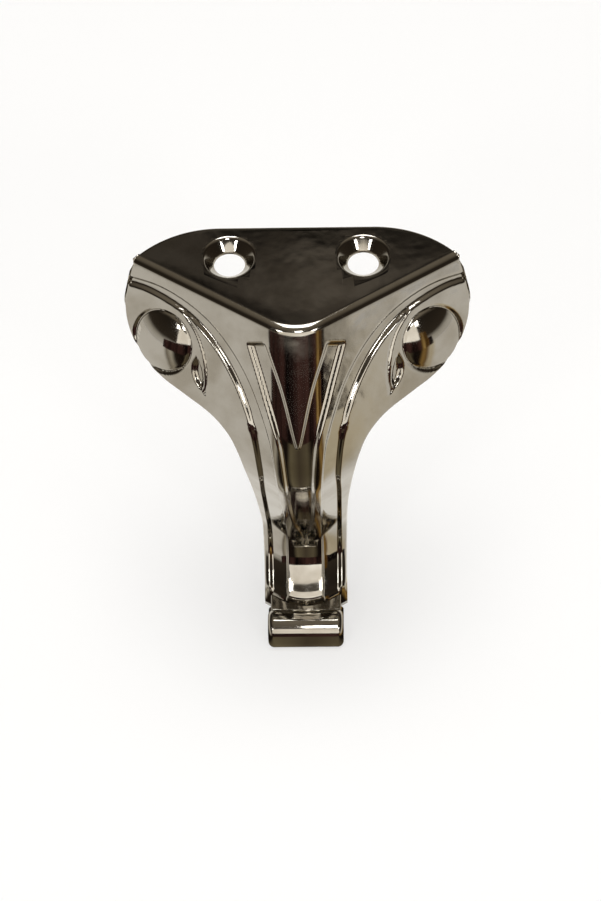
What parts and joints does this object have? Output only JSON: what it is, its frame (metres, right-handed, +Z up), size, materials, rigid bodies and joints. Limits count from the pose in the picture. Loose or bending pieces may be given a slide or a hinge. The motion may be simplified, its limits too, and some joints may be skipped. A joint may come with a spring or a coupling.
{
  "type": "cabinet foot",
  "caption": "Cast metal furniture foot: a screw-on top plate, spreading grooved ears with domed discs, a tapering leg and a rounded toe.",
  "frame": {"origin": "on the floor under the sharp corner where the plate's two front edges would meet", "axes": "+Z up, -Y towards the front of the foot, +X to the viewer's right when the foot is seen from the front"},
  "size_m": [0.0726, 0.0439, 0.1],
  "materials": {
    "plated_metal": "polished plating on a casting"
  },
  "bodies": {
    "root": {"foot_casting": "plated_metal"}
  },
  "joints": []
}
